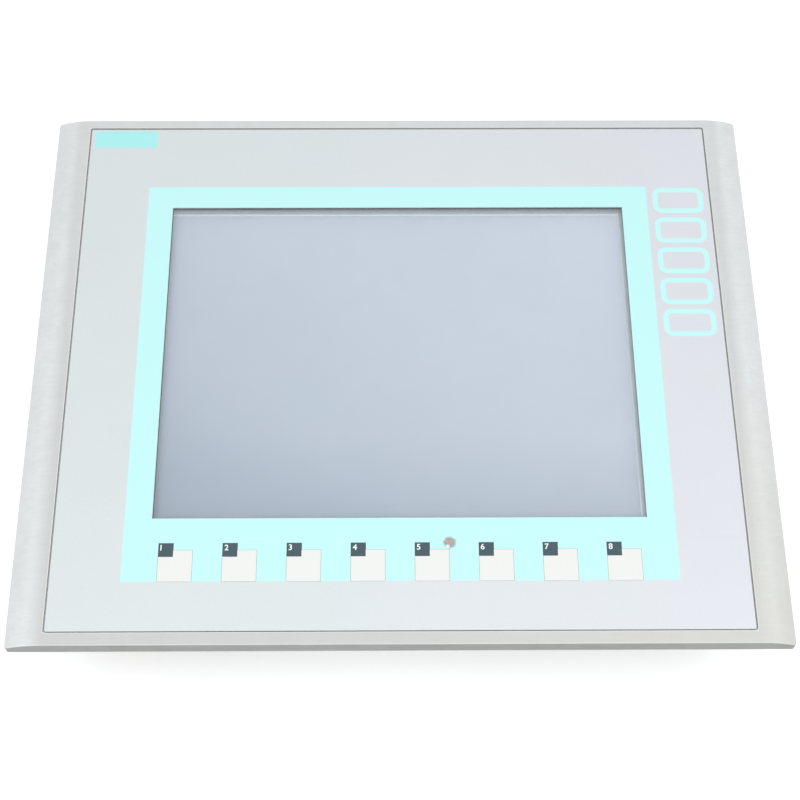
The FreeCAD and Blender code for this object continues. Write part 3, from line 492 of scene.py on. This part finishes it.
def circuit_board():
    """Green solder mask over a pattern of copper tracks."""
    m = Material("circuit_board")
    tracks = m.ramp(m.cells(3.2, output="Distance", feature="DISTANCE_TO_EDGE"), (0.10, 1.0), (0.14, 0.0))
    weave = m.noise(0.5, detail=2.0)
    tone = m.mix(weave, (0.018, 0.110, 0.045), (0.030, 0.150, 0.062))
    tone = m.mix(m.math("MULTIPLY", tracks, 0.6), tone, (0.060, 0.260, 0.110))
    m.bump(tracks, 0.03)
    return m.finish(tone, m.ramp(weave, (0.3, 0.28), (0.7, 0.38)))


def blank_label():
    """Silver label stock with plain ruled fields and nothing written in them."""
    m = Material("blank_label")
    tone = m.mix(m.noise(12, detail=4.0), (0.60, 0.61, 0.62), (0.70, 0.71, 0.72))
    rows = m.ramp(m.math("PINGPONG", m.axis("Y"), LABEL_ROW), (0.0, 1.0), (0.03, 0.0))
    tone = m.mix(m.math("MULTIPLY", rows, 0.6), tone, (0.20, 0.21, 0.22))
    m.bump(m.noise(0.3, detail=2.0), 0.006)
    return m.finish(tone, m.ramp(m.noise(15), (0.3, 0.30), (0.7, 0.42)), 0.3)


def table_top():
    """White translucent sheet, lit a little from below so that shadows on it stay faint."""
    m = Material("table_top")
    tone = m.mix(m.noise(90, detail=3.0), (0.80, 0.80, 0.80), (0.83, 0.83, 0.83))
    m.bump(m.noise(1.5, detail=3.0), 0.02)
    rough = m.ramp(m.noise(40), (0.3, 0.60), (0.7, 0.70))
    return m.finish(tone, rough, Emission_Color=(1.0, 1.0, 1.0), Emission_Strength=0.35)


# --- Meshes ------------------------------------------------------------------------------------------

def mesh_piece(name, shape, material, body):
    """Turn a bmesh into a named piece that rides on a body."""
    mesh = bpy.data.meshes.new(name)
    shape.to_mesh(mesh)
    shape.free()
    mesh.materials.append(material)
    piece = bpy.data.objects.new(name, mesh)
    bpy.context.scene.collection.objects.link(piece)
    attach(piece, body)
    return piece


def ink_square(low_x, high_y, base_z, size, corner):
    """A thin layer of ink with rounded corners."""
    shape = bmesh.new()
    outline = []
    centres = [
        (low_x + size - corner, high_y - corner, 0),
        (low_x + corner, high_y - corner, 90),
        (low_x + corner, high_y - size + corner, 180),
        (low_x + size - corner, high_y - size + corner, 270),
    ]
    for x, y, start in centres:
        for step in range(BADGE_CORNER_STEPS + 1):
            angle = math.radians(start + 90 * step / BADGE_CORNER_STEPS)
            outline.append((x + corner * math.cos(angle), y + corner * math.sin(angle)))
    low = [shape.verts.new((x, y, base_z)) for x, y in outline]
    face = shape.faces.new(low)
    raised = bmesh.ops.extrude_face_region(shape, geom=[face])
    top = [item for item in raised["geom"] if isinstance(item, bmesh.types.BMVert)]
    bmesh.ops.translate(shape, verts=top, vec=(0, 0, INK_THICKNESS))
    bmesh.ops.recalc_face_normals(shape, faces=shape.faces)
    return shape


def number_shape(text, low_x, high_y, base_z, height):
    """A printed digit, its top left corner at (low_x, high_y)."""
    curve = bpy.data.curves.new("digit", "FONT")
    curve.body = text
    curve.size = 1.0
    curve.extrude = 0.5
    curve.offset = 0.012
    digit = bpy.data.objects.new("digit", curve)
    mesh = bpy.data.meshes.new_from_object(digit)
    bpy.data.objects.remove(digit)
    bpy.data.curves.remove(curve)
    shape = bmesh.new()
    shape.from_mesh(mesh)
    bpy.data.meshes.remove(mesh)
    xs = [vert.co.x for vert in shape.verts]
    ys = [vert.co.y for vert in shape.verts]
    scale = height / (max(ys) - min(ys))
    for vert in shape.verts:
        vert.co = Vector((
            low_x + (vert.co.x - min(xs)) * scale,
            high_y + (vert.co.y - max(ys)) * scale,
            base_z + (vert.co.z + 0.5) * INK_THICKNESS,
        ))
    return shape


def add_key_prints(badge_material, number_material):
    """The dark badge and its number on each function key."""
    for number in range(1, KEY_COUNT + 1):
        low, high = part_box(f"key_{number}")
        body = f"key_{number}_body"
        badge = ink_square(low.x, high.y, high.z, BADGE_SIZE, BADGE_CORNER)
        mesh_piece(f"key_badge_{number}", badge, badge_material, body)
        left = low.x + NUMBER_INSET_X
        top = high.y - NUMBER_INSET_Y
        digit = number_shape(str(number), left, top, high.z + INK_THICKNESS, NUMBER_HEIGHT)
        mesh_piece(f"key_number_{number}", digit, number_material, body)


def dome_ring(shape, low, high, out, lift):
    """One ring of a dome's vertices, out being 0 at the crown and 1 at the rim, raised by lift."""
    centre = (low + high) / 2
    reach = (high.x - low.x) / 2 * out
    rise = high.z - low.z - DOME_SHEET
    z = low.z + rise * (1 - out ** 2) + lift
    angles = [math.tau * spoke / DOME_SPOKES for spoke in range(DOME_SPOKES)]
    return [
        shape.verts.new((centre.x + reach * math.cos(angle), centre.y + reach * math.sin(angle), z))
        for angle in angles
    ]


def dome_shape(low, high):
    """A thin round sheet arched between its rim at low.z and its crown at high.z."""
    shape = bmesh.new()
    steps = [step / DOME_RINGS for step in range(1, DOME_RINGS + 1)]
    upper = [dome_ring(shape, low, high, out, DOME_SHEET) for out in steps]
    lower = [dome_ring(shape, low, high, out, 0.0) for out in steps]
    around = upper + lower[::-1]
    for first, second in zip(around, around[1:]):
        for spoke in range(DOME_SPOKES):
            after = (spoke + 1) % DOME_SPOKES
            shape.faces.new((first[spoke], second[spoke], second[after], first[after]))
    shape.faces.new(upper[0])
    shape.faces.new(lower[0])
    bmesh.ops.recalc_face_normals(shape, faces=shape.faces)
    return shape


def add_snap_domes(material):
    """Steel domes under the keys, built as thin arched sheets that ride on the housing."""
    for number in range(1, KEY_COUNT + 1):
        node = f"key_dome_{number}"
        low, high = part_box(node)
        dome = mesh_piece(f"snap_dome_{number}", dome_shape(low, high), material, "housing")
        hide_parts(node)
        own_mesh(dome)


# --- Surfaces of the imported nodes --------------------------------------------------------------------

def dress(material, *names):
    for name in names:
        for slot in NODES[name].material_slots:
            slot.material = material


def dress_nodes(dome_steel):
    zinc = sheet_metal("zinc_sheet", (0.60, 0.61, 0.61))
    screw = turned_metal("screw_steel", (0.62, 0.61, 0.58))
    board = circuit_board()
    foam = rubber("gasket_foam", (0.035, 0.035, 0.035))
    flex = moulded("amber_flex", (0.50, 0.27, 0.07), roughness=(0.22, 0.32), grain=1.5)
    card = key_card()
    dress(cast_frame(), "front_frame")
    dress(silver_foil(), "front_foil")
    dress(turquoise_print(), "printed_graphics")
    dress(window_clear(), "window_film")
    dress(sensor_glass(), "touch_sensor")
    dress(display_glass(), "lcd_panel")
    dress(card, "label_strip", *[f"key_{number}" for number in range(1, KEY_COUNT + 1)])
    dress(dome_steel, *[f"key_dome_{number}" for number in range(1, KEY_COUNT + 1)])
    dress(moulded("membrane_film", (0.30, 0.36, 0.33)), "key_membrane")
    dress(foam, "touch_gasket", "lcd_dust_seal")
    dress(rubber("door_seal", (0.045, 0.045, 0.048)), "mounting_seal")
    dress(flex, "touch_flex_tail")
    dress(display_can(), "lcd_bezel")
    dress(moulded("light_guide", (0.82, 0.82, 0.79)), "lcd_backlight")
    dress(moulded("lamp_glass", (0.90, 0.90, 0.87), roughness=(0.10, 0.18)), "lcd_lamps")
    dress(sheet_metal("carrier_sheet", (0.70, 0.71, 0.72)), "support_plate")
    dress(zinc, "rear_cover", "lcd_brackets")
    dress(screw, "lcd_screws", "frame_screws", "board_screws", "inverter_screws", "cover_screws")
    dress(board, "main_board", "inverter_board")
    dress(moulded("header_nylon", (0.74, 0.71, 0.60)), "board_connectors")
    dress(moulded("chip_epoxy", (0.030, 0.030, 0.032)), "board_chips")
    dress(turned_metal("black_anodising", (0.06, 0.06, 0.065)), "heat_spreader")
    dress(moulded("capacitor_sleeve", (0.030, 0.035, 0.095), roughness=(0.20, 0.30)), "capacitors")
    dress(moulded("choke_ferrite", (0.09, 0.09, 0.09)), "power_choke")
    dress(moulded("socket_green", (0.035, 0.26, 0.13)), "power_socket")
    dress(turned_metal("tinned_pin", (0.75, 0.74, 0.70)), "power_pins")
    dress(sheet_metal("jack_shield", (0.70, 0.69, 0.66), spangle=2.0), "network_port")
    dress(turned_metal("gold_contact", (0.85, 0.60, 0.22)), "network_contacts")
    dress(moulded("transformer_core", (0.11, 0.09, 0.075)), "inverter_transformer")
    dress(moulded("ribbon_cable", (0.50, 0.50, 0.51)), "display_cable")
    dress(moulded("lamp_lead", (0.70, 0.30, 0.34), roughness=(0.30, 0.42)), "lamp_leads")
    dress(moulded("supply_lead", (0.50, 0.045, 0.035), roughness=(0.30, 0.42)), "inverter_supply_leads")
    dress(blank_label(), "rating_plate")
    dress(turned_metal("plated_brass", (0.72, 0.58, 0.30)), "ground_terminal")


# --- Studio ------------------------------------------------------------------------------------------

def facing(place, target):
    """The placement of a camera or light at place that looks at target."""
    view = Vector(target) - Vector(place)
    return Matrix.Translation(place) @ view.to_track_quat("-Z", "Y").to_matrix().to_4x4()


def add_camera():
    data = bpy.data.cameras.new("camera")
    data.lens = CAMERA_LENS
    data.sensor_width = SENSOR_WIDTH
    data.clip_start = 0.05
    data.clip_end = 100.0
    camera = bpy.data.objects.new("camera", data)
    camera.matrix_world = facing(CAMERA_PLACE, CAMERA_AIM) @ Matrix.Rotation(CAMERA_ROLL, 4, "Z")
    bpy.context.scene.collection.objects.link(camera)
    bpy.context.scene.camera = camera


def add_floor():
    shape = bmesh.new()
    half = FLOOR_HALF
    corners = [(-half, -half), (half, -half), (half, half), (-half, half)]
    shape.faces.new([shape.verts.new((x, y, CAD_BOX[0][2])) for x, y in corners])
    mesh = bpy.data.meshes.new("floor")
    shape.to_mesh(mesh)
    shape.free()
    mesh.materials.append(table_top())
    floor = bpy.data.objects.new("floor", mesh)
    bpy.context.scene.collection.objects.link(floor)


def add_softbox():
    """A wide soft light overhead, aimed at the middle of the panel."""
    data = bpy.data.lights.new("overhead", "AREA")
    data.shape = "RECTANGLE"
    data.size = SOFTBOX_WIDTH
    data.size_y = SOFTBOX_DEPTH
    data.energy = SOFTBOX_WATTS
    light = bpy.data.objects.new("overhead", data)
    light.matrix_world = facing(SOFTBOX_PLACE, (0, 0, 0))
    bpy.context.scene.collection.objects.link(light)


def add_world():
    """A pale room, brightest overhead."""
    world = bpy.data.worlds.new("studio")
    world.use_nodes = True
    tree = world.node_tree
    direction = tree.nodes.new("ShaderNodeTexCoord")
    height = tree.nodes.new("ShaderNodeSeparateXYZ")
    room = tree.nodes.new("ShaderNodeValToRGB")
    room.color_ramp.elements[0].position = 0.05
    room.color_ramp.elements[0].color = (0.60, 0.605, 0.61, 1.0)
    room.color_ramp.elements[1].position = 0.8
    room.color_ramp.elements[1].color = (0.70, 0.71, 0.72, 1.0)
    tree.links.new(direction.outputs["Generated"], height.inputs[0])
    tree.links.new(height.outputs["Z"], room.inputs["Fac"])
    tree.links.new(room.outputs["Color"], tree.nodes["Background"].inputs["Color"])
    bpy.context.scene.world = world


snap_steel = turned_metal("dome_steel", (0.66, 0.66, 0.65))
dress_nodes(snap_steel)
add_key_prints(badge_ink(), number_ink())
add_snap_domes(snap_steel)
add_floor()
add_camera()
add_world()
add_softbox()
bpy.context.scene.view_settings.view_transform = "Standard"
